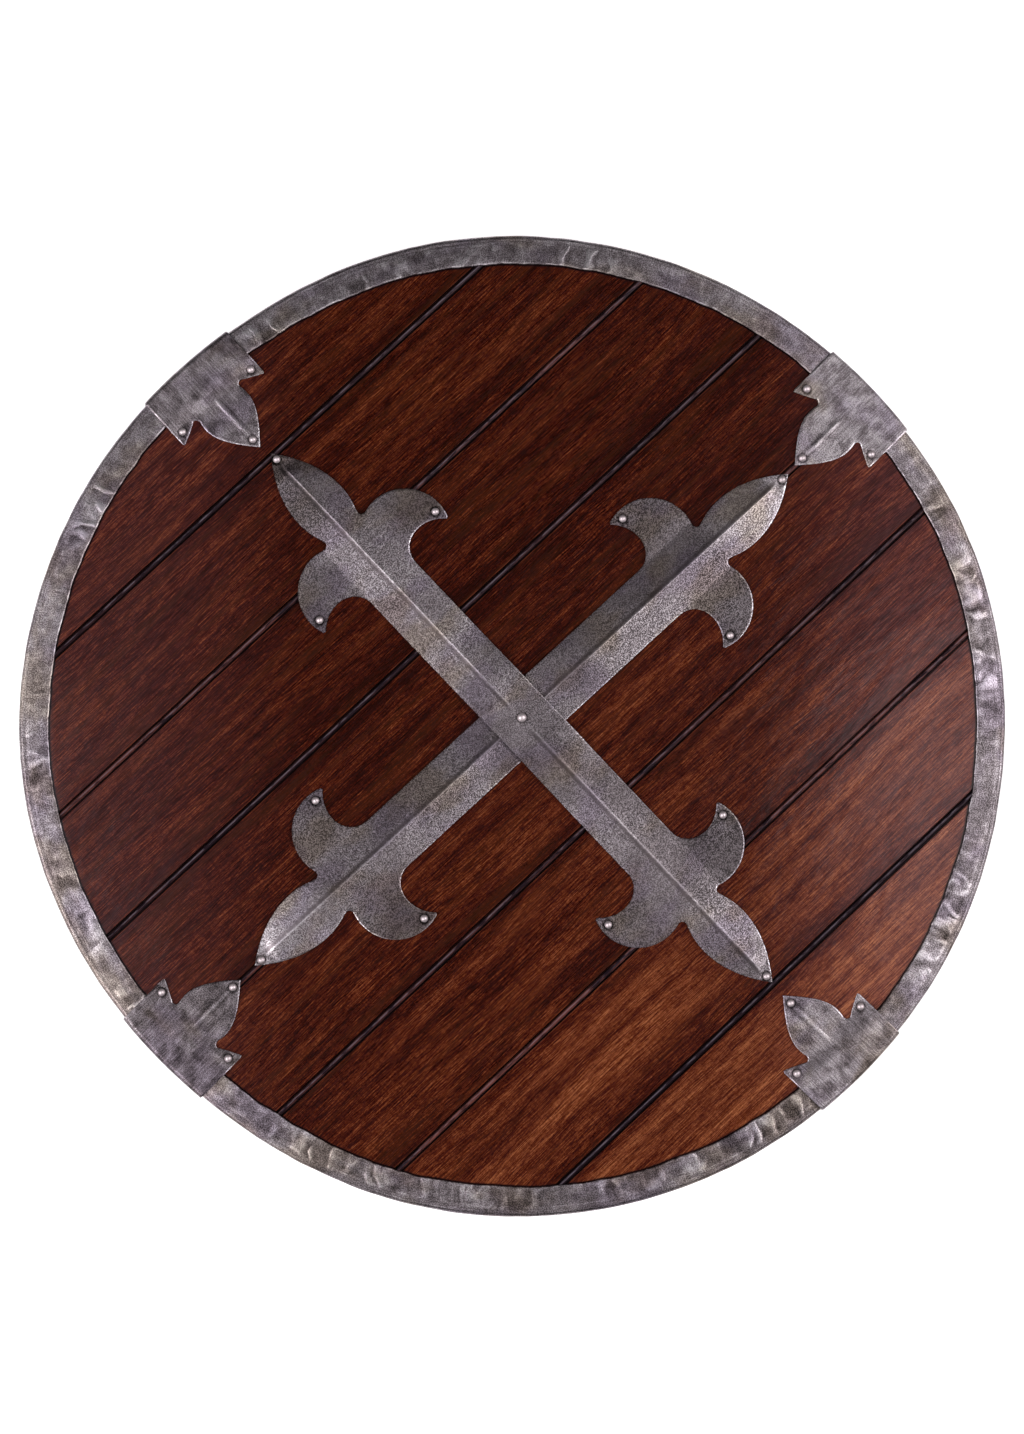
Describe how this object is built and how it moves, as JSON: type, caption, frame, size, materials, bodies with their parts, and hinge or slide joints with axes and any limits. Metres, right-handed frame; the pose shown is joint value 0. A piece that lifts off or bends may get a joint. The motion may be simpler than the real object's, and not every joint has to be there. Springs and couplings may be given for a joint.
{
  "type": "wooden round shield",
  "caption": "Round shield of beaded wooden boards in a hammered steel rim, with two crossed fleur-ended steel bars, clamps over the rim and leather straps behind.",
  "frame": {"origin": "on the surface that the shield lies on, under the middle of its outline", "axes": "+Z out of the shield's face, +X along the boards, +Y across the boards"},
  "size_m": [0.6112, 0.61, 0.0444],
  "materials": {
    "planks": "satin lacquer over reddish-brown, mahogany-like wood",
    "battens": "oiled, plain",
    "rim": "hammered and wrinkled grey sheet steel",
    "bars": "finely stippled dark steel with bright cut edges",
    "clamps": "ground steel with scratches running inwards",
    "nails": "bright domed heads",
    "straps": "brown, smooth grain side out",
    "screws": "plain bright steel"
  },
  "bodies": {
    "root": {"plank_1": "planks", "plank_2": "planks", "plank_3": "planks", "plank_4": "planks", "plank_5": "planks", "plank_6": "planks", "plank_7": "planks", "plank_8": "planks", "rim_band": "rim", "cross_bar_under": "bars", "cross_bar_over": "bars", "rim_clamp_1": "clamps", "rim_clamp_2": "clamps", "rim_clamp_3": "clamps", "rim_clamp_4": "clamps", "bar_nail_1": "nails", "bar_nail_2": "nails", "bar_nail_3": "nails", "bar_nail_4": "nails", "bar_nail_5": "nails", "bar_nail_6": "nails", "bar_nail_7": "nails", "bar_nail_8": "nails", "bar_nail_9": "nails", "bar_nail_10": "nails", "bar_nail_11": "nails", "bar_nail_12": "nails", "centre_nail": "nails", "clamp_nail_1": "nails", "clamp_nail_2": "nails", "clamp_nail_3": "nails", "clamp_nail_4": "nails", "clamp_rivet_1": "nails", "clamp_rivet_2": "nails", "clamp_rivet_3": "nails", "clamp_rivet_4": "nails", "clamp_rivet_5": "nails", "clamp_rivet_6": "nails", "clamp_rivet_7": "nails", "clamp_rivet_8": "nails", "batten_1": "battens", "batten_2": "battens", "grip_strap": "straps", "arm_strap": "straps", "strap_screw_1": "screws", "strap_screw_2": "screws", "strap_screw_3": "screws", "strap_screw_4": "screws"}
  },
  "joints": []
}
